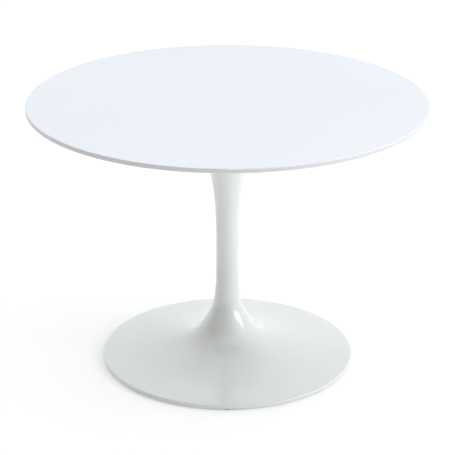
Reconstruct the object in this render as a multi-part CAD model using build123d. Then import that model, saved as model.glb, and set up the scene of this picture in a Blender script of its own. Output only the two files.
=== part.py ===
from build123d import *
import math
import os

"""A low round table on a trumpet-shaped pedestal.

A lacquered board with a thin lip is screwed to a round steel plate. The plate's threaded hub takes one
long tie rod, which runs down the hollow pedestal, and a nut under a cast-iron ballast plate pulls
everything together. The pedestal is one aluminium casting, and it stands on eight thin glide pads.

All sizes are in millimetres. +Z is up, and the origin is the centre of the floor under the pads.
"""

# Overall sizes
table_height = 417.0
top_diameter = 600.0
base_diameter = 389.0
neck_diameter = 35.6  # the pedestal's waist

# Table top: the upright lip is all that shows of the board's thickness, and the bevel hides the rest
top_thickness = 18.0
lip_height = 6.6
bevel_width = 46.0
upper_arris = 1.4
lower_arris = 0.9

# Glide pads, stuck under the pedestal's rim
pad_count = 8
pad_diameter = 20.0
pad_thickness = 2.0
pad_rounding = 0.5
pad_inset = 3.0  # from the rim's outside to the pad
pad_land = 4.0  # flat ring left inside the pads

# Pedestal casting
rim_thickness = 5.2
rim_rounding = 1.6
heel_rounding = 0.8
wall = 5.0
foot_slope = 6.5  # degrees; the foot is a plain shallow cone from its rim in to the flare
flare_reach = 127.2  # from the neck out to where the cone begins
# Flare: (distance out from the neck, height above the cone's inner end)
flare_foot_stations = [(112.2, 2.3), (94.2, 5.6), (70.2, 11.5), (48.2, 19.0)]
flare_neck_stations = [(30.0, 31.3), (17.0, 49.5), (8.0, 66.6), (3.0, 84.0), (0.8, 107.7)]
flare_stations = flare_foot_stations + flare_neck_stations
neck_height = 188.0
# Head: (distance out from the neck, share of the way from the neck up to the pedestal's top)
head_stations = [(1.5, 0.29), (7.5, 0.534), (19.1, 0.806)]
head_outset = 28.6
head_slope = 76.5  # degrees from level, at the pedestal's top
head_rounding = 1.0
head_web = 8.0  # cross wall that closes the pedestal's top
seat_rise = 31.2  # from the cone's inner end up to the cross wall that the ballast is pulled against
seat_web = 8.0
curve_samples = 12  # points on each curve inside the casting

# Mounting plate and its hub
plate_diameter = 220.0
plate_thickness = 4.0
plate_rounding = 1.0
gasket_thickness = 1.0
gasket_inset = 2.0  # from the pedestal's edge to the gasket's
hub_wall = 12.0
hub_length = 24.0
hub_spigot_wall = 8.0
hub_chamfer = 1.0
hub_play = 0.5  # radial gap between the hub and the pedestal's cross wall

# Screws that hold the plate to the board
screw_count = 6
screw_edge_distance = 15.0  # from the plate's edge to a screw's centre
screw_diameter = 6.0
screw_length = 16.0
screw_chamfer = 0.8
screw_head_overhang = 2.25
screw_head_height = 3.3
screw_head_flat = 2.9  # radius of the flat on top of the head
screw_socket = 4.0  # across flats
screw_socket_depth = 2.0
screw_hole_play = 0.3
washer_width = 2.7
washer_thickness = 1.6
insert_wall = 2.0
insert_barb = 0.4
insert_barb_count = 3
insert_hole_end = 1.5  # free depth beyond the insert
insert_cover = 3.5  # board left above an insert's hole

# Tie rod and its nut
rod_diameter = 12.0
rod_hole_play = 1.0
rod_chamfer = 1.2
rod_top_gap = 2.0  # below the board
rod_tail = 2.5  # past the nut
rod_washer_width = 11.5
rod_washer_thickness = 3.0
lock_washer_width = 4.45
lock_washer_thickness = 2.5
lock_washer_split = 1.6
nut_wall = 3.0  # from the thread to a flat
nut_height = 10.0

# Ballast plate
ballast_floor_gap = 4.5
ballast_casting_gap = 2.0  # below the inside of the casting
ballast_edge = 6.0  # thickness at the edge
ballast_shoulders = [10.0, 16.0, 24.0]  # thicknesses at the steps where its slope steepens
ballast_pocket_room = 11.5  # round the washer, for a socket spanner
ballast_pocket_roof = 18.0  # iron between the pocket and the seat
ballast_seat_width = 4.0  # ring outside the pocket that meets the cross wall
ballast_rounding = 1.5

# Fits
thread_play = 0.05  # radial, in every threaded hole
fit_play = 0.05  # radial, round the spigot and the inserts

# Sizes and places that follow
top_radius = top_diameter / 2
base_radius = base_diameter / 2
neck_radius = neck_diameter / 2
head_radius = neck_radius + head_outset
rod_radius = rod_diameter / 2
rod_hole_radius = rod_radius + rod_hole_play
rod_washer_radius = rod_hole_radius + rod_washer_width
hub_radius = rod_radius + hub_wall
spigot_radius = rod_radius + hub_spigot_wall
screw_hole_radius = screw_diameter / 2 + screw_hole_play
insert_radius = screw_diameter / 2 + insert_wall
insert_length = top_thickness - insert_cover - insert_hole_end
screw_circle = plate_diameter - 2 * screw_edge_distance
land_radius = base_radius - pad_inset - pad_diameter - pad_land
pad_circle = base_diameter - 2 * pad_inset - pad_diameter
pocket_radius = rod_washer_radius + ballast_pocket_room
top_underside = table_height - top_thickness
plate_underside = top_underside - plate_thickness
pedestal_top = plate_underside - gasket_thickness
rim_top = pad_thickness + rim_thickness
cone_radius = neck_radius + flare_reach
cone_top = rim_top + (base_radius - cone_radius) * math.tan(math.radians(foot_slope))
seat_height = cone_top + seat_rise
pocket_top = seat_height - ballast_pocket_roof
lock_washer_top = pocket_top - rod_washer_thickness
nut_top = lock_washer_top - lock_washer_thickness
rod_bottom = nut_top - nut_height - rod_tail
rod_top = top_underside - rod_top_gap


def rod(radius, bottom, height):
    """Plain upright cylinder about Z."""
    return Pos(0, 0, bottom) * Cylinder(radius, height, align=(Align.CENTER, Align.CENTER, Align.MIN))


def ring(outer_radius, inner_radius, bottom, height):
    """Flat ring about Z."""
    return rod(outer_radius, bottom, height) - rod(inner_radius, bottom, height)


def turned(edges):
    """Solid of revolution about Z of a closed outline drawn as (radius, height)."""
    return revolve(make_face(Plane.XZ * (Curve() + edges)), Axis.Z)


def circles_at(solid, radius, height):
    """The round edges of a solid at one radius and height."""
    rounds = solid.edges().filter_by(GeomType.CIRCLE)
    return rounds.filter_by(lambda e: math.hypot(e.radius - radius, e.arc_center.Z - height) < 0.01)


def around(circle_diameter, count):
    """Evenly spaced places on a circle about Z, the first of them on +X."""
    return [Rot(0, 0, k * 360 / count) * Pos(circle_diameter / 2, 0, 0) for k in range(count)]


def group(solid, circle_diameter, count):
    """One group of separate, evenly spaced copies of a solid."""
    return Compound([(place * solid).solid() for place in around(circle_diameter, count)])


# Table top


def build_tabletop():
    """Board with a rounded upright lip, a wide bevel under it, and blind holes for the inserts."""
    lip_bottom = table_height - lip_height
    underside = (top_radius - bevel_width, top_underside)
    lip = [(top_radius, lip_bottom), (top_radius, table_height)]
    board = turned([Polyline((0, top_underside), underside, *lip, (0, table_height), close=True)])
    board = fillet(circles_at(board, top_radius, table_height), upper_arris)
    board = fillet(circles_at(board, top_radius, lip_bottom), lower_arris)
    hole = rod(insert_radius + fit_play, top_underside, insert_length + insert_hole_end)
    for place in around(screw_circle, screw_count):
        board -= place * hole
    return board


def build_insert():
    """Insert with a threaded bore and barbs that bite into the board."""
    root = insert_radius - insert_barb
    bore = screw_diameter / 2 + thread_play
    pitch = insert_length / insert_barb_count
    outline = [(bore, 0)]
    for k in range(insert_barb_count):
        foot = k * pitch
        outline += [(root, foot), (insert_radius, foot + 0.6 * pitch), (insert_radius, foot + 0.8 * pitch)]
    outline += [(root, insert_length), (bore, insert_length)]
    return Pos(0, 0, top_underside) * turned([Polyline(*outline, close=True)])


# Plate, hub, gasket and screws


def build_plate():
    """Round steel plate with a centre hole for the hub's spigot and a circle of screw holes."""
    plate = rod(plate_diameter / 2, plate_underside, plate_thickness)
    plate = fillet(plate.edges().filter_by(GeomType.CIRCLE), plate_rounding)
    plate -= rod(spigot_radius + fit_play, plate_underside, plate_thickness)
    hole = rod(screw_hole_radius, plate_underside, plate_thickness)
    for place in around(screw_circle, screw_count):
        plate -= place * hole
    return plate


def build_hub():
    """Threaded boss with a spigot that is welded into the plate."""
    hub = rod(hub_radius, plate_underside - hub_length, hub_length)
    hub = chamfer(circles_at(hub, hub_radius, plate_underside - hub_length), hub_chamfer)
    hub += rod(spigot_radius, plate_underside, plate_thickness)
    bore = rod_radius + thread_play
    hub -= rod(bore, plate_underside - hub_length, hub_length + plate_thickness)
    return chamfer(circles_at(hub, bore, plate_underside - hub_length), hub_chamfer)


def build_screw():
    """Button-head screw with a hexagonal socket, pointing up through its washer and the plate."""
    head_edge = screw_diameter / 2 + screw_head_overhang
    shoulder = (head_edge * 0.86, screw_head_height * 0.3)
    crown = ThreePointArc((screw_head_flat, 0), shoulder, (head_edge, screw_head_height * 0.9))
    bearing = [(head_edge, screw_head_height), (0, screw_head_height)]
    sides = Polyline(crown @ 1, *bearing, (0, 0), (screw_head_flat, 0))
    shank = rod(screw_diameter / 2, screw_head_height, screw_length)
    shank = chamfer(shank.edges().group_by(Axis.Z)[-1], screw_chamfer)
    socket = extrude(RegularPolygon(screw_socket / 2, 6, major_radius=False), screw_socket_depth)
    screw = turned([crown, sides]) + shank - socket
    return Pos(0, 0, plate_underside - washer_thickness - screw_head_height) * screw


def build_gasket():
    """Thin ring that keeps the plate off the pedestal's lacquer."""
    return ring(head_radius - gasket_inset, hub_radius + hub_play, pedestal_top, gasket_thickness)


def build_screw_washer():
    """Flat washer between a screw's head and the plate."""
    outer = screw_hole_radius + washer_width
    return ring(outer, screw_hole_radius, plate_underside - washer_thickness, washer_thickness)


# Pedestal


def pedestal_outside():
    """The pedestal's outside from the rim's top up to its head, as a cone, a flare and a head."""
    cone = Line((base_radius, rim_top), (cone_radius, cone_top))
    flare_points = [(neck_radius + out, cone_top + rise) for out, rise in flare_stations]
    neck = (neck_radius, neck_height)
    flare = Spline(cone @ 1, *flare_points, neck, tangents=(cone % 1, (0, 1)))
    rise = pedestal_top - neck_height
    head_points = [(neck_radius + out, neck_height + rise * share) for out, share in head_stations]
    lean = math.radians(head_slope)
    head_end = (head_radius, pedestal_top)
    head = Spline(neck, *head_points, head_end, tangents=((0, 1), (math.cos(lean), math.sin(lean))))
    return cone, flare, head


def inside_of(edge):
    """A curve one wall thickness inside an edge of the pedestal's outside."""
    samples = 1 if edge.geom_type == GeomType.LINE else curve_samples
    points = []
    for k in range(samples + 1):
        here = edge @ (k / samples)
        along = edge % (k / samples)
        points.append((here.X - wall * along.Y, here.Y + wall * along.X))
    if samples == 1:
        return Line(*points)
    return Spline(*points, tangents=(edge % 0, edge % 1))


def radius_inside(height):
    """Inside radius of the casting's foot or flare at a height, found by halving."""
    cone, flare, _ = pedestal_outside()
    inner = inside_of(cone)
    if height > (inner @ 1).Y:
        inner = inside_of(flare)
    low = 0.0
    high = 1.0
    for _ in range(40):
        middle = (low + high) / 2
        if (inner @ middle).Y < height:
            low = middle
        else:
            high = middle
    return (inner @ low).X


def build_pedestal():
    """Hollow casting with a cross wall at its head and another above the ballast."""
    cone, flare, head = pedestal_outside()
    foot = Polyline((0, rim_top), (0, pad_thickness), (base_radius, pad_thickness), (base_radius, rim_top))
    crown = Polyline(head @ 1, (0, pedestal_top), (0, rim_top))
    casting = turned([foot, cone, flare, head, crown])
    casting = fillet(circles_at(casting, base_radius, rim_top), rim_rounding)
    casting = fillet(circles_at(casting, base_radius, pad_thickness), heel_rounding)
    casting = fillet(circles_at(casting, head_radius, pedestal_top), head_rounding)
    inner_cone, inner_flare, inner_head = [inside_of(edge) for edge in (cone, flare, head)]
    below = Polyline((0, 0), ((inner_cone @ 0).X, 0), inner_cone @ 0)
    above = Polyline(inner_head @ 1, (0, (inner_head @ 1).Y), (0, 0))
    hollow = turned([below, inner_cone, inner_flare, inner_head, above])
    hollow -= ring(base_radius, land_radius, 0, rim_top)
    hollow -= rod(base_radius, seat_height, seat_web)
    hollow -= rod(base_radius, pedestal_top - head_web, head_web)
    casting -= hollow
    casting -= rod(rod_hole_radius, seat_height, seat_web)
    return casting - rod(hub_radius + hub_play, pedestal_top - head_web, head_web)


# Tie rod, ballast and nut


def build_tie_rod():
    """Steel rod, threaded into the hub at its top and taking the nut at its foot."""
    tie = rod(rod_radius, rod_bottom, rod_top - rod_bottom)
    return chamfer(tie.edges().filter_by(GeomType.CIRCLE), rod_chamfer)


def build_ballast():
    """Cast-iron cone that fills the foot, with a pocket under it for the nut."""
    edge_top = ballast_floor_gap + ballast_edge
    edge_radius = radius_inside(edge_top + ballast_casting_gap)
    lower = [(0, ballast_floor_gap), (edge_radius, ballast_floor_gap), (edge_radius, edge_top)]
    steps = [ballast_floor_gap + thickness for thickness in ballast_shoulders]
    upper = [(radius_inside(height + ballast_casting_gap), height) for height in steps]
    seat = [(pocket_radius + ballast_seat_width, seat_height), (0, seat_height)]
    ballast = turned([Polyline(*lower, *upper, *seat, close=True)])
    ballast = fillet(circles_at(ballast, edge_radius, edge_top), ballast_rounding)
    ballast = fillet(circles_at(ballast, edge_radius, ballast_floor_gap), ballast_rounding)
    ballast -= rod(pocket_radius, ballast_floor_gap, pocket_top - ballast_floor_gap)
    return ballast - rod(rod_hole_radius, pocket_top, ballast_pocket_roof)


def build_rod_washer():
    """Wide flat washer under the ballast."""
    return ring(rod_washer_radius, rod_hole_radius, lock_washer_top, rod_washer_thickness)


def build_lock_washer():
    """Flat-faced washer ring, split on one side."""
    inner = rod_radius + thread_play
    outer = inner + lock_washer_width
    washer = ring(outer, inner, nut_top, lock_washer_thickness)
    split = Box(2 * outer, lock_washer_split, lock_washer_thickness)
    return washer - Pos(outer, 0, nut_top + lock_washer_thickness / 2) * split


def build_nut():
    """Hexagonal nut with its corners turned off at both ends."""
    flat = rod_radius + nut_wall
    blank = extrude(RegularPolygon(flat, 6, major_radius=False), nut_height)
    corner = flat / math.cos(math.radians(30))
    depth = corner - flat
    cap = chamfer(rod(corner, 0, nut_height).edges().filter_by(GeomType.CIRCLE), depth)
    return Pos(0, 0, nut_top - nut_height) * (blank & cap) - rod(rod_radius + thread_play, 0, nut_top)


def build_pad():
    """Round glide pad, with its lower edge rounded."""
    pad = rod(pad_diameter / 2, 0, pad_thickness)
    return fillet(pad.edges().group_by(Axis.Z)[0], pad_rounding)


parts = {
    "tabletop": build_tabletop(),
    "threaded_inserts": group(build_insert(), screw_circle, screw_count),
    "mounting_plate": build_plate(),
    "plate_hub": build_hub(),
    "plate_screws": group(build_screw(), screw_circle, screw_count),
    "screw_washers": group(build_screw_washer(), screw_circle, screw_count),
    "column_gasket": build_gasket(),
    "pedestal": build_pedestal(),
    "tie_rod": build_tie_rod(),
    "ballast_plate": build_ballast(),
    "rod_washer": build_rod_washer(),
    "rod_lock_washer": build_lock_washer(),
    "rod_nut": build_nut(),
}
for k, place in enumerate(around(pad_circle, pad_count)):
    parts[f"glide_pad_{k + 1}"] = place * build_pad()

os.makedirs("parts", exist_ok=True)
for node, shape in parts.items():
    export_step(shape, f"parts/{node}.step")
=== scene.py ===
import math
import bpy
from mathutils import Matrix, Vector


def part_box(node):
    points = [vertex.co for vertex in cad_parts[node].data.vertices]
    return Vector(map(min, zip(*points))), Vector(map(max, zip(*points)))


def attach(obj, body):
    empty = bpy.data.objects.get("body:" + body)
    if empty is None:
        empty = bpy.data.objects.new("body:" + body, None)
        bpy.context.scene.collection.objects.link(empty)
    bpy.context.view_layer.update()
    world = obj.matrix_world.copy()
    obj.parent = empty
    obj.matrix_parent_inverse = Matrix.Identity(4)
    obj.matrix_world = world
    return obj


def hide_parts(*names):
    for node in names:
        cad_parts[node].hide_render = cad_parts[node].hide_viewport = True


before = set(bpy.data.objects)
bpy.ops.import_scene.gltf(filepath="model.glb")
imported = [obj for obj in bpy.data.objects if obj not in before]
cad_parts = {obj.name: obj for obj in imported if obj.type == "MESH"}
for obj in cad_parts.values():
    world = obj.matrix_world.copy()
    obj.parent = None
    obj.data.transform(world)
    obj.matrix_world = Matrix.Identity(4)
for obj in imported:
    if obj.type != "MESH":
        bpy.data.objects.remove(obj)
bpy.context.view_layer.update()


# Pedestal
# One hollow sand casting in aluminium, ground smooth outside, primed and sprayed with a two-pack gloss
# lacquer. The spray reaches a little way in under the rim, and the rest of the inside is left as cast.


def linear(hex_colour):
    """An sRGB hex colour as the linear RGBA that shaders work in."""
    parts = [int(hex_colour[k:k + 2], 16) / 255 for k in (0, 2, 4)]
    return [c / 12.92 if c <= 0.04045 else ((c + 0.055) / 1.055) ** 2.4 for c in parts] + [1]


def add(tree, kind, inputs, **settings):
    """Adds one shader node. Inputs, by name or number, take a value or another node's output."""
    node = tree.nodes.new(kind)
    for name, value in settings.items():
        setattr(node, name, value)
    for name, value in inputs.items():
        if isinstance(value, bpy.types.NodeSocket):
            tree.links.new(value, node.inputs[name])
        else:
            node.inputs[name].default_value = value
    return node


def finish_named(name, metallic, roughness, ior=None):
    """Makes a material, and gives it with its node tree, its Principled shader and a coordinates node."""
    material = bpy.data.materials.new(name)
    material.use_nodes = True
    tree = material.node_tree
    shader = tree.nodes["Principled BSDF"]
    shader.inputs["Metallic"].default_value = metallic
    shader.inputs["Roughness"].default_value = roughness
    if ior:
        shader.inputs["IOR"].default_value = ior
    place = tree.nodes.new("ShaderNodeTexCoord")
    return material, tree, shader, place


def wear(node, material):
    """Puts a material on every slot of a CAD node."""
    for k in range(len(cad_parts[node].material_slots)):
        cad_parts[node].material_slots[k].material = material


peel = 0.0026  # orange peel of a sprayed gloss coat, crest to crest
cast_grain = 0.0012  # moulding sand
lacquer_white = linear("dfe2dd")
lacquer_thin = linear("dadcd8")
cast_light = linear("a9acab")
cast_dark = linear("7c7f80")
overspray_reach = 0.014  # how far in and out its ragged edge wanders
overspray_whole = 0.012  # in from the rim, the coat is whole to here
overspray_gone = 0.027  # in from the rim, only the ragged edge goes past here
film_patch = 0.06  # slow change in the film's tone
cast_pitting = 0.004
peel_depth = 0.00002
cast_depth = 0.0003
lacquer_roughness = 0.3
cast_roughness = 0.62

# Gloss lacquer: deep and wet-looking, with a faint orange peel that breaks up what it mirrors.
# A texture's scale is written as 1 over the size of its grain, here and below.
gloss, tree, shader, place = finish_named("gloss_lacquer_on_cast_aluminium", 0.0, lacquer_roughness, 1.5)
shader.inputs["Coat IOR"].default_value = 1.5
cloud = add(tree, "ShaderNodeTexNoise", {
    "Vector": place.outputs["Object"], "Scale": 1 / film_patch, "Detail": 3})
film = add(tree, "ShaderNodeMix", {
    0: cloud.outputs["Fac"], 6: lacquer_white, 7: lacquer_thin}, data_type="RGBA")
# Bare skin: sharp sand grain with darker pits, on every face that looks in towards the axis
sand = add(tree, "ShaderNodeTexVoronoi", {"Vector": place.outputs["Object"], "Scale": 1 / cast_grain})
grit = add(tree, "ShaderNodeTexNoise", {
    "Vector": place.outputs["Object"], "Scale": 1 / cast_pitting, "Detail": 6})
skin = add(tree, "ShaderNodeMix", {0: grit.outputs["Fac"], 6: cast_dark, 7: cast_light}, data_type="RGBA")
flat = add(tree, "ShaderNodeVectorMath", {0: place.outputs["Object"], 1: (1, 1, 0)}, operation="MULTIPLY")
outward = add(tree, "ShaderNodeVectorMath", {0: flat.outputs[0]}, operation="NORMALIZE")
facing = add(tree, "ShaderNodeVectorMath", {0: outward.outputs[0], 1: place.outputs["Normal"]},
             operation="DOT_PRODUCT")
reach = add(tree, "ShaderNodeVectorMath", {0: flat.outputs[0]}, operation="LENGTH")
rim_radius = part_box("pedestal")[1].x
ragged = add(tree, "ShaderNodeMath", {
    0: cloud.outputs["Fac"], 1: 2 * overspray_reach, 2: reach.outputs["Value"]}, operation="MULTIPLY_ADD")
dusted = add(tree, "ShaderNodeMapRange", {
    "Value": ragged.outputs[0], "From Min": rim_radius - overspray_gone - overspray_reach,
    "From Max": rim_radius - overspray_whole})
inside = add(tree, "ShaderNodeMapRange", {
    "Value": facing.outputs["Value"], "From Min": -0.01, "From Max": -0.03})
bare = add(tree, "ShaderNodeMath", {0: inside.outputs[0], 1: dusted.outputs[0]}, operation="SUBTRACT",
           use_clamp=True)
colour = add(tree, "ShaderNodeMix", {
    0: bare.outputs[0], 6: film.outputs[2], 7: skin.outputs[2]}, data_type="RGBA")
tree.links.new(colour.outputs[2], shader.inputs["Base Color"])
tree.links.new(bare.outputs[0], shader.inputs["Metallic"])
coated = add(tree, "ShaderNodeMath", {0: 1, 1: bare.outputs[0]}, operation="SUBTRACT")
tree.links.new(coated.outputs[0], shader.inputs["Coat Weight"])
mottle = add(tree, "ShaderNodeMapRange", {"Value": cloud.outputs["Fac"], "To Min": 0.04, "To Max": 0.09})
tree.links.new(mottle.outputs[0], shader.inputs["Coat Roughness"])
dull = add(tree, "ShaderNodeMix", {0: bare.outputs[0], 2: lacquer_roughness, 3: cast_roughness})
tree.links.new(dull.outputs[0], shader.inputs["Roughness"])
ripple = add(tree, "ShaderNodeTexNoise", {"Vector": place.outputs["Object"], "Scale": 1 / peel, "Detail": 1})
depth = add(tree, "ShaderNodeMix", {0: bare.outputs[0], 2: peel_depth, 3: cast_depth})
relief = add(tree, "ShaderNodeMix", {
    0: bare.outputs[0], 2: ripple.outputs["Fac"], 3: sand.outputs["Distance"]})
bump = add(tree, "ShaderNodeBump", {"Height": relief.outputs[0], "Distance": depth.outputs[0]})
tree.links.new(bump.outputs["Normal"], shader.inputs["Normal"])
tree.links.new(bump.outputs["Normal"], shader.inputs["Coat Normal"])
wear("pedestal", gloss)


# Glide pads
# Eight round pads punched from dark polyethylene sheet and glued to the rim's flat land. Their lower faces
# are scuffed paler by the floor.
sheet_dark = linear("2b2b2d")
sheet_light = linear("39393b")
scuffed = linear("6a6a68")
sheet_grain = 0.0005
roll_streak = 0.005
scuff_size = 0.0015
leather_depth = 0.00004

# Polyethylene: waxy and nearly matt, with a fine leathery grain from the rolls
waxy, tree, shader, place = finish_named("punched_polyethylene", 0.0, 0.55, 1.51)
marble = add(tree, "ShaderNodeTexNoise", {
    "Vector": place.outputs["Object"], "Scale": 1 / roll_streak, "Detail": 4})
tone = add(tree, "ShaderNodeMix", {0: marble.outputs["Fac"], 6: sheet_dark, 7: sheet_light}, data_type="RGBA")
split = add(tree, "ShaderNodeSeparateXYZ", {0: place.outputs["Normal"]})
drag = add(tree, "ShaderNodeTexNoise", {
    "Vector": place.outputs["Object"], "Scale": 1 / scuff_size, "Detail": 8})
sole = add(tree, "ShaderNodeMapRange", {"Value": split.outputs["Z"], "From Min": -0.5, "From Max": -0.9})
rubbed = add(tree, "ShaderNodeMath", {0: sole.outputs[0], 1: drag.outputs["Fac"]}, operation="MULTIPLY")
colour = add(tree, "ShaderNodeMix", {0: rubbed.outputs[0], 6: tone.outputs[2], 7: scuffed}, data_type="RGBA")
tree.links.new(colour.outputs[2], shader.inputs["Base Color"])
dull = add(tree, "ShaderNodeMapRange", {"Value": drag.outputs["Fac"], "To Min": 0.45, "To Max": 0.7})
tree.links.new(dull.outputs[0], shader.inputs["Roughness"])
leather = add(tree, "ShaderNodeTexVoronoi", {"Vector": place.outputs["Object"], "Scale": 1 / sheet_grain})
bump = add(tree, "ShaderNodeBump", {"Height": leather.outputs["Distance"], "Distance": leather_depth})
tree.links.new(bump.outputs["Normal"], shader.inputs["Normal"])
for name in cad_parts:
    if name.startswith("glide_pad_"):
        wear(name, waxy)


# Table top
# A round board of MDF, turned to a thin lip with a long bevel beneath, sealed and sprayed with satin lacquer.
# The face is rubbed down between coats. The underside gets only sealer and one dusting coat.
satin_white = linear("eef1f4")
satin_shade = linear("e9edf1")
sealer = linear("e7e7e3")
# Greyer colour for the lip: painted shade on the board's upright edge
lip_painted_shade = linear("d2d0d3")
fibre = 0.0009  # MDF fibre clumps that telegraph through thin sealer
face_patch = 0.16
face_depth = 0.00001
underside_depth = 0.00006
sealer_roughness = 0.6

# Satin lacquer: even and silky, with soft wide highlights and a very fine spray grain
satin, tree, shader, place = finish_named("satin_lacquer_on_board", 0.0, 0.36, 1.5)
cloud = add(tree, "ShaderNodeTexNoise", {
    "Vector": place.outputs["Object"], "Scale": 1 / face_patch, "Detail": 4})
face = add(tree, "ShaderNodeMix", {0: cloud.outputs["Fac"], 6: satin_white, 7: satin_shade}, data_type="RGBA")
split = add(tree, "ShaderNodeSeparateXYZ", {0: place.outputs["Normal"]})
under = add(tree, "ShaderNodeMapRange", {"Value": split.outputs["Z"], "From Min": -0.6, "From Max": -0.9})
# Painted shade: the upright faces of the lip are mixed towards a greyer colour, standing in for the shade on
# the edge
upright = add(tree, "ShaderNodeMath", {0: split.outputs["Z"]}, operation="ABSOLUTE")
edge = add(tree, "ShaderNodeMapRange", {"Value": upright.outputs[0], "From Min": 0.75, "From Max": 0.3})
body = add(tree, "ShaderNodeMix", {0: edge.outputs[0], 6: face.outputs[2], 7: lip_painted_shade}, data_type="RGBA")
colour = add(tree, "ShaderNodeMix", {0: under.outputs[0], 6: body.outputs[2], 7: sealer}, data_type="RGBA")
tree.links.new(colour.outputs[2], shader.inputs["Base Color"])
dull = add(tree, "ShaderNodeMapRange", {"Value": cloud.outputs["Fac"], "To Min": 0.33, "To Max": 0.42})
rough = add(tree, "ShaderNodeMix", {0: under.outputs[0], 2: dull.outputs[0], 3: sealer_roughness})
tree.links.new(rough.outputs[0], shader.inputs["Roughness"])
grain = add(tree, "ShaderNodeTexNoise", {"Vector": place.outputs["Object"], "Scale": 1 / fibre, "Detail": 4})
depth = add(tree, "ShaderNodeMix", {0: under.outputs[0], 2: face_depth, 3: underside_depth})
bump = add(tree, "ShaderNodeBump", {"Height": grain.outputs["Fac"], "Distance": depth.outputs[0]})
tree.links.new(bump.outputs["Normal"], shader.inputs["Normal"])
wear("tabletop", satin)


# Threaded inserts
# Six brass sleeves turned from bar, threaded inside and pressed into the underside of the board. The screws
# of the mounting plate go into them.
brass_bright = linear("d9b878")
brass_dull = linear("b08a4e")
handling_cloud = 0.004
tool_mark = 0.001258  # from one turning mark to the next: drawn coarser than real
tool_mark_depth = 0.00001
wave_repeats = 3.18  # a wave texture repeats this many times in 1 / scale

# Turned brass: warm and bright, clouded where it has been handled
turned_brass, tree, shader, place = finish_named("turned_brass", 1.0, 0.3)
cloud = add(tree, "ShaderNodeTexNoise", {
    "Vector": place.outputs["Object"], "Scale": 1 / handling_cloud, "Detail": 5})
tarnish = add(tree, "ShaderNodeMix", {
    0: cloud.outputs["Fac"], 6: brass_bright, 7: brass_dull}, data_type="RGBA")
tree.links.new(tarnish.outputs[2], shader.inputs["Base Color"])
dull = add(tree, "ShaderNodeMapRange", {"Value": cloud.outputs["Fac"], "To Min": 0.2, "To Max": 0.42})
tree.links.new(dull.outputs[0], shader.inputs["Roughness"])
tooling = add(tree, "ShaderNodeTexWave", {
    "Vector": place.outputs["Object"], "Scale": 1 / (tool_mark * wave_repeats), "Distortion": 0.4},
    bands_direction="Z")
bump = add(tree, "ShaderNodeBump", {"Height": tooling.outputs["Fac"], "Distance": tool_mark_depth})
tree.links.new(bump.outputs["Normal"], shader.inputs["Normal"])
wear("threaded_inserts", turned_brass)


# Mounting plate
# A disc laser-cut from 4 mm steel with its rim eased. It was powder-coated satin black after the hub was
# welded in, and six screws hold it up against the board.
coat_black = linear("262628")
coat_worn = linear("333335")
powder_peel = 0.0011
powder_depth = 0.00006
coat_patch = 0.03

# Powder coat: thick, even and softly dimpled, with a low broad shine
powder, tree, shader, place = finish_named("black_powder_coat", 0.0, 0.42, 1.5)
cloud = add(tree, "ShaderNodeTexNoise", {
    "Vector": place.outputs["Object"], "Scale": 1 / coat_patch, "Detail": 5})
tone = add(tree, "ShaderNodeMix", {0: cloud.outputs["Fac"], 6: coat_black, 7: coat_worn}, data_type="RGBA")
tree.links.new(tone.outputs[2], shader.inputs["Base Color"])
dull = add(tree, "ShaderNodeMapRange", {"Value": cloud.outputs["Fac"], "To Min": 0.34, "To Max": 0.52})
tree.links.new(dull.outputs[0], shader.inputs["Roughness"])
dimple = add(tree, "ShaderNodeTexNoise", {
    "Vector": place.outputs["Object"], "Scale": 1 / powder_peel, "Detail": 2})
bump = add(tree, "ShaderNodeBump", {"Height": dimple.outputs["Fac"], "Distance": powder_depth})
tree.links.new(bump.outputs["Normal"], shader.inputs["Normal"])
wear("mounting_plate", powder)


# Plate hub
# A steel boss turned on a lathe, pressed into the plate by its spigot and welded. The tie rod screws up into
# its thread.
steel_bright = linear("b9bbbd")
steel_oiled = linear("8d8f90")
feed = 0.0002  # advance of the lathe tool in one turn
feeds_drawn = 3  # one groove is drawn for each three feeds: coarser than real
groove_depth = 0.000015
oil_patch = 0.009

# Turned steel: fine rings from the tool under a thin film of oil
turned_steel, tree, shader, place = finish_named("turned_mild_steel", 1.0, 0.32)
film = add(tree, "ShaderNodeTexNoise", {
    "Vector": place.outputs["Object"], "Scale": 1 / oil_patch, "Detail": 5})
tone = add(tree, "ShaderNodeMix", {0: film.outputs["Fac"], 6: steel_bright, 7: steel_oiled}, data_type="RGBA")
tree.links.new(tone.outputs[2], shader.inputs["Base Color"])
dull = add(tree, "ShaderNodeMapRange", {"Value": film.outputs["Fac"], "To Min": 0.22, "To Max": 0.45})
tree.links.new(dull.outputs[0], shader.inputs["Roughness"])
grooves = add(tree, "ShaderNodeTexWave", {
    "Vector": place.outputs["Object"], "Scale": 1 / (feeds_drawn * feed * wave_repeats)},
    wave_type="RINGS", rings_direction="Z")
bump = add(tree, "ShaderNodeBump", {"Height": grooves.outputs["Fac"], "Distance": groove_depth})
tree.links.new(bump.outputs["Normal"], shader.inputs["Normal"])
wear("plate_hub", turned_steel)


# Plate screws and their washers
# Six M6 screws, cold-headed and bright zinc plated, each with a punched plain washer plated in the same bath.
# They clamp the plate to the board.
zinc_pale = linear("cfd3d6")
zinc_blue = linear("aab0b6")
zinc_straw = linear("c2bda8")
zinc_cloud = 0.003
straw_stain = 0.007
plating_depth = 0.00002


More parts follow.
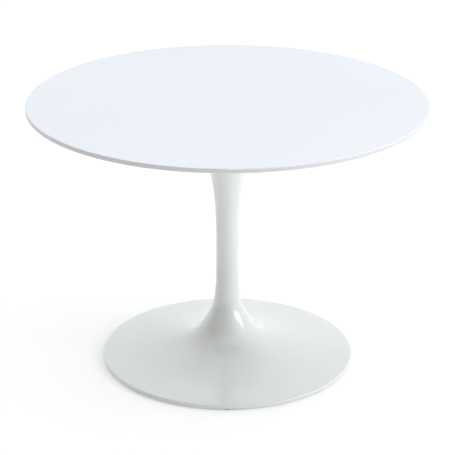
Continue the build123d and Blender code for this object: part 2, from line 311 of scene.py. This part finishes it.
def zinc_plated(name, spangle, roughest):
    """Bright zinc on steel: bluish silver clouded with straw, in small crystals that glint apart."""
    material, tree, shader, place = finish_named(name, 1.0, 0.3)
    cloud = add(tree, "ShaderNodeTexNoise", {
        "Vector": place.outputs["Object"], "Scale": 1 / zinc_cloud, "Detail": 4})
    stain = add(tree, "ShaderNodeTexNoise", {
        "Vector": place.outputs["Object"], "Scale": 1 / straw_stain, "Detail": 6})
    silver = add(tree, "ShaderNodeMix", {
        0: cloud.outputs["Fac"], 6: zinc_pale, 7: zinc_blue}, data_type="RGBA")
    straw = add(tree, "ShaderNodeMapRange", {
        "Value": stain.outputs["Fac"], "From Min": 0.5, "From Max": 0.75})
    tone = add(tree, "ShaderNodeMix", {
        0: straw.outputs[0], 6: silver.outputs[2], 7: zinc_straw}, data_type="RGBA")
    tree.links.new(tone.outputs[2], shader.inputs["Base Color"])
    crystal = add(tree, "ShaderNodeTexVoronoi", {"Vector": place.outputs["Object"], "Scale": 1 / spangle})
    dull = add(tree, "ShaderNodeMapRange", {
        "Value": crystal.outputs["Color"], "To Min": 0.18, "To Max": roughest})
    tree.links.new(dull.outputs[0], shader.inputs["Roughness"])
    bump = add(tree, "ShaderNodeBump", {"Height": cloud.outputs["Fac"], "Distance": plating_depth})
    tree.links.new(bump.outputs["Normal"], shader.inputs["Normal"])
    return material


wear("plate_screws", zinc_plated("zinc_on_cold_headed_screws", 0.0006, 0.36))
wear("screw_washers", zinc_plated("zinc_on_punched_washers", 0.001, 0.44))


# Column gasket
# A ring die-cut from 1 mm rubber sheet. It is laid dry between the plate and the pedestal's head, to save the
# lacquer.
rubber_black = linear("1b1b1c")
rubber_bloom = linear("3a3a3b")
bloom_patch = 0.008
cloth_weave = 0.0007
cloth_depth = 0.00005

# Sheet rubber: black and matt, with pale bloom and the print of the cloth it was cured on
cured, tree, shader, place = finish_named("cured_sheet_rubber", 0.0, 0.8, 1.52)
bloom = add(tree, "ShaderNodeTexNoise", {
    "Vector": place.outputs["Object"], "Scale": 1 / bloom_patch, "Detail": 7})
tone = add(tree, "ShaderNodeMix", {
    0: bloom.outputs["Fac"], 6: rubber_black, 7: rubber_bloom}, data_type="RGBA")
tree.links.new(tone.outputs[2], shader.inputs["Base Color"])
dull = add(tree, "ShaderNodeMapRange", {"Value": bloom.outputs["Fac"], "To Min": 0.7, "To Max": 0.9})
tree.links.new(dull.outputs[0], shader.inputs["Roughness"])
cloth = add(tree, "ShaderNodeTexVoronoi", {"Vector": place.outputs["Object"], "Scale": 1 / cloth_weave})
bump = add(tree, "ShaderNodeBump", {"Height": cloth.outputs["Distance"], "Distance": cloth_depth})
tree.links.new(bump.outputs["Normal"], shader.inputs["Normal"])
wear("column_gasket", cured)


# Tie rod
# A 12 mm steel rod with rolled threads at both ends and a plain shank between, zinc plated. It screws up into
# the hub, and the nut under the ballast pulls the whole table together.
rod_low, rod_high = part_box("tie_rod")
rod_radius = rod_high.x
thread_pitch = 0.00175
thread_depth = 0.00107
crest_share = 1 / 8  # flat crest and flat root, as shares of the pitch
root_share = 1 / 4
thread_run_out = 0.0035  # over which the thread fades into the shank
lower_thread = 0.055
upper_thread = 0.04
round_steps = 40  # points in each ring of the mesh
rows_in_pitch = 7
shank_row = 0.02  # from ring to ring on the plain shank
rod_chamfer = 0.001


def thread_cut(height, turn):
    """How deep the 60 degree thread is cut at a height and an angle round the rod."""
    along = (height / thread_pitch - turn / (2 * math.pi)) % 1
    flank_width = (1 - crest_share - root_share) / 2
    flank = min(max((abs(along - 0.5) - crest_share / 2) / flank_width, 0), 1)
    from_end = min(height - rod_low.z - lower_thread, 0) + max(height - rod_high.z + upper_thread, 0)
    return thread_depth * flank * min(abs(from_end) / thread_run_out, 1)


heights = [rod_low.z]
while heights[-1] < rod_high.z:
    threaded = heights[-1] < rod_low.z + lower_thread or heights[-1] > rod_high.z - upper_thread - shank_row
    heights.append(min(heights[-1] + (thread_pitch / rows_in_pitch if threaded else shank_row), rod_high.z))
points = []
for z in heights:
    ease = max(rod_chamfer - min(z - rod_low.z, rod_high.z - z), 0)
    for k in range(round_steps):
        turn = 2 * math.pi * k / round_steps
        r = rod_radius - max(thread_cut(z, turn), ease)
        points.append((r * math.cos(turn), r * math.sin(turn), z))
rows = len(heights)
faces = [list(range(round_steps))[::-1], list(range((rows - 1) * round_steps, rows * round_steps))]
for j in range(rows - 1):
    for k in range(round_steps):
        a, b = j * round_steps + k, j * round_steps + (k + 1) % round_steps
        faces.append([a, b, b + round_steps, a + round_steps])
rod_mesh = bpy.data.meshes.new("threaded_tie_rod")
rod_mesh.from_pydata(points, [], faces)
rod_mesh.polygons.foreach_set("use_smooth", [False] * 2 + [True] * (len(faces) - 2))
rod_mesh.materials.append(zinc_plated("zinc_on_rolled_rod", 0.0012, 0.4))
threaded_rod = bpy.data.objects.new("threaded_tie_rod", rod_mesh)
bpy.context.scene.collection.objects.link(threaded_rod)
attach(threaded_rod, "root")
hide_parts("tie_rod")


# Ballast plate
# A grey iron sand casting that fills the foot and keeps the table from tipping. Only its upper seat and the
# roof of the spanner pocket are machined. The rest has a brushed coat of black paint over the sand skin.
iron_paint = linear("1f1f20")
iron_thin = linear("37332f")
iron_cut = linear("8f8f8d")
iron_sand = 0.0016
brush_patch = 0.012
iron_sand_depth = 0.0004
milled_depth = 0.00001
milled_roughness = 0.38
left_rough = 0.008  # level faces nearer than this to the pocket's mouth are left as cast

# Painted cast iron: dull black over coarse sand, thin and brownish on the high spots
iron, tree, shader, place = finish_named("painted_cast_iron", 0.0, 0.7, 1.5)
patch = add(tree, "ShaderNodeTexNoise", {
    "Vector": place.outputs["Object"], "Scale": 1 / brush_patch, "Detail": 8})
sand = add(tree, "ShaderNodeTexVoronoi", {"Vector": place.outputs["Object"], "Scale": 1 / iron_sand})
thin = add(tree, "ShaderNodeMapRange", {"Value": patch.outputs["Fac"], "From Min": 0.5, "From Max": 0.72})
paint = add(tree, "ShaderNodeMix", {0: thin.outputs[0], 6: iron_paint, 7: iron_thin}, data_type="RGBA")
# Machined faces are the level ones that sit well above the pocket's mouth
split = add(tree, "ShaderNodeSeparateXYZ", {0: place.outputs["Normal"]})
level = add(tree, "ShaderNodeMath", {0: split.outputs["Z"]}, operation="ABSOLUTE")
true_face = add(tree, "ShaderNodeMapRange", {"Value": level.outputs[0], "From Min": 0.985, "From Max": 0.998})
where = add(tree, "ShaderNodeSeparateXYZ", {0: place.outputs["Object"]})
pocket_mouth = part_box("ballast_plate")[0].z
raised = add(tree, "ShaderNodeMapRange", {
    "Value": where.outputs["Z"], "From Min": pocket_mouth + left_rough,
    "From Max": pocket_mouth + left_rough + 0.002})
cut = add(tree, "ShaderNodeMath", {0: true_face.outputs[0], 1: raised.outputs[0]}, operation="MULTIPLY")
colour = add(tree, "ShaderNodeMix", {0: cut.outputs[0], 6: paint.outputs[2], 7: iron_cut}, data_type="RGBA")
tree.links.new(colour.outputs[2], shader.inputs["Base Color"])
tree.links.new(cut.outputs[0], shader.inputs["Metallic"])
skin = add(tree, "ShaderNodeMapRange", {"Value": patch.outputs["Fac"], "To Min": 0.55, "To Max": 0.85})
dull = add(tree, "ShaderNodeMix", {0: cut.outputs[0], 2: skin.outputs[0], 3: milled_roughness})
tree.links.new(dull.outputs[0], shader.inputs["Roughness"])
depth = add(tree, "ShaderNodeMix", {0: cut.outputs[0], 2: iron_sand_depth, 3: milled_depth})
bump = add(tree, "ShaderNodeBump", {"Height": sand.outputs["Distance"], "Distance": depth.outputs[0]})
tree.links.new(bump.outputs["Normal"], shader.inputs["Normal"])
wear("ballast_plate", iron)


# Rod washer, lock washer and nut
# A wide plain washer and a hexagon nut, both zinc plated, with a split spring washer between them. The spring
# steel is only blacked and oiled, because plating would make it brittle.
blacked = linear("3b3a3a")
blacked_brown = linear("4d4641")
oil_cloud = 0.0025
scale_grain = 0.0006
scale_depth = 0.00003
wear("rod_washer", zinc_plated("zinc_on_wide_washer", 0.0014, 0.46))
wear("rod_nut", zinc_plated("zinc_on_forged_nut", 0.0009, 0.4))

# Blacked spring steel: dark grey with a brown cast and an oily, uneven sheen
spring, tree, shader, place = finish_named("blacked_spring_steel", 1.0, 0.45)
cloud = add(tree, "ShaderNodeTexNoise", {
    "Vector": place.outputs["Object"], "Scale": 1 / oil_cloud, "Detail": 5})
tone = add(tree, "ShaderNodeMix", {0: cloud.outputs["Fac"], 6: blacked, 7: blacked_brown}, data_type="RGBA")
tree.links.new(tone.outputs[2], shader.inputs["Base Color"])
dull = add(tree, "ShaderNodeMapRange", {"Value": cloud.outputs["Fac"], "To Min": 0.32, "To Max": 0.58})
tree.links.new(dull.outputs[0], shader.inputs["Roughness"])
scale_skin = add(tree, "ShaderNodeTexNoise", {
    "Vector": place.outputs["Object"], "Scale": 1 / scale_grain, "Detail": 3})
bump = add(tree, "ShaderNodeBump", {"Height": scale_skin.outputs["Fac"], "Distance": scale_depth})
tree.links.new(bump.outputs["Normal"], shader.inputs["Normal"])
wear("rod_lock_washer", spring)


# Studio
# A pale paper floor and a round paper wall far out, in soft light from all round. The room has one dim end,
# behind the camera and to its left, and a wide softbox hangs in front to the right.
floor_radius = 40
floor_corners = 64
wall_radius = 12
wall_height = 9
wall_panels = 96
room = (1.07, 1.1, 1.15, 1)  # daylight bounced off white walls
ceiling = (1.21, 1.22, 1.26, 1)
dim_end = (0.27, 0.27, 0.25, 1)
upright_squeeze = 1.8  # the banks of light are this much narrower up and down than sideways
camera_pitch = 21.83  # degrees below level


def round_the_table(radius, height, count):
    """Points on a level circle about the table's axis."""
    angles = [2 * math.pi * k / count for k in range(count)]
    return [(radius * math.cos(angle), radius * math.sin(angle), height) for angle in angles]


# Matt paper that glows a little, so that the ground reads as white right up to the table's own shadow
paper, tree, shader, place = finish_named("matt_studio_paper", 0.0, 0.9)
shader.inputs["Base Color"].default_value = linear("f4f4f4")
shader.inputs["Specular IOR Level"].default_value = 0.1
shader.inputs["Emission Color"].default_value = (1, 1, 1, 1)
shader.inputs["Emission Strength"].default_value = 0.17

floor_mesh = bpy.data.meshes.new("studio_floor")
floor_mesh.from_pydata(round_the_table(floor_radius, 0, floor_corners), [], [list(range(floor_corners))])
floor_mesh.materials.append(paper)
floor = bpy.data.objects.new("studio_floor", floor_mesh)
bpy.context.scene.collection.objects.link(floor)

# The wall only closes the view at floor level: the camera sees it, and no light does
sweep_mesh = bpy.data.meshes.new("studio_sweep")
lower_ring = round_the_table(wall_radius, 0, wall_panels)
upper_ring = round_the_table(wall_radius, wall_height, wall_panels)
after = [(k + 1) % wall_panels for k in range(wall_panels)]
sweep_mesh.from_pydata(lower_ring + upper_ring, [], [
    (after[k], k, k + wall_panels, after[k] + wall_panels) for k in range(wall_panels)])
sweep_mesh.shade_smooth()
sweep_mesh.materials.append(paper)
sweep = bpy.data.objects.new("studio_sweep", sweep_mesh)
bpy.context.scene.collection.objects.link(sweep)
sweep.visible_diffuse = False
sweep.visible_glossy = False
sweep.visible_transmission = False
sweep.visible_shadow = False

world = bpy.data.worlds.new("studio_light")
bpy.context.scene.world = world
world.use_nodes = True
tree = world.node_tree
aim = add(tree, "ShaderNodeTexCoord", {}).outputs["Generated"]
squash = add(tree, "ShaderNodeVectorMath", {0: aim, 1: (1, 1, upright_squeeze)}, operation="MULTIPLY")
look = add(tree, "ShaderNodeVectorMath", {0: squash.outputs[0]}, operation="NORMALIZE").outputs[0]


def bank(azimuth, elevation, spread, core):
    """How much a direction is in one bank of light: 1 inside the core angle, easing to 0 at the spread."""
    turn, lift = math.radians(azimuth), math.radians(elevation)
    middle = (math.cos(lift) * math.cos(turn), math.cos(lift) * math.sin(turn), math.sin(lift))
    near = add(tree, "ShaderNodeVectorMath", {0: look, 1: middle}, operation="DOT_PRODUCT")
    return add(tree, "ShaderNodeMapRange", {
        "Value": near.outputs["Value"], "From Min": math.cos(math.radians(spread)),
        "From Max": math.cos(math.radians(core))}, interpolation_type="SMOOTHSTEP").outputs[0]


overhead = bank(azimuth=0, elevation=90, spread=50, core=10)
upper = add(tree, "ShaderNodeMix", {0: overhead, 6: room, 7: ceiling}, data_type="RGBA")
near_left = bank(azimuth=-122, elevation=14, spread=74, core=46)
shaded = add(tree, "ShaderNodeMix", {0: near_left, 6: upper.outputs[2], 7: dim_end}, data_type="RGBA")
tree.links.new(shaded.outputs[2], tree.nodes["Background"].inputs["Color"])

panel = bpy.data.lights.new("wide_softbox", "AREA")
panel.shape = "RECTANGLE"
panel.size = 1.3
panel.size_y = 0.42
panel.energy = 10.0
softbox = bpy.data.objects.new("wide_softbox", panel)
bpy.context.scene.collection.objects.link(softbox)
softbox.location = (1.7, -0.79, 0.73)
softbox.rotation_euler = (math.radians(70), 0, math.radians(65))
softbox.visible_camera = False

camera = bpy.data.objects.new("camera", bpy.data.cameras.new("camera"))
bpy.context.scene.collection.objects.link(camera)
camera.location = (0, -2.5116, 1.2188)
camera.rotation_euler = (math.radians(90 - camera_pitch), 0, 0)
camera.data.lens = 139.68
bpy.context.scene.camera = camera
bpy.context.scene.view_settings.view_transform = "Standard"
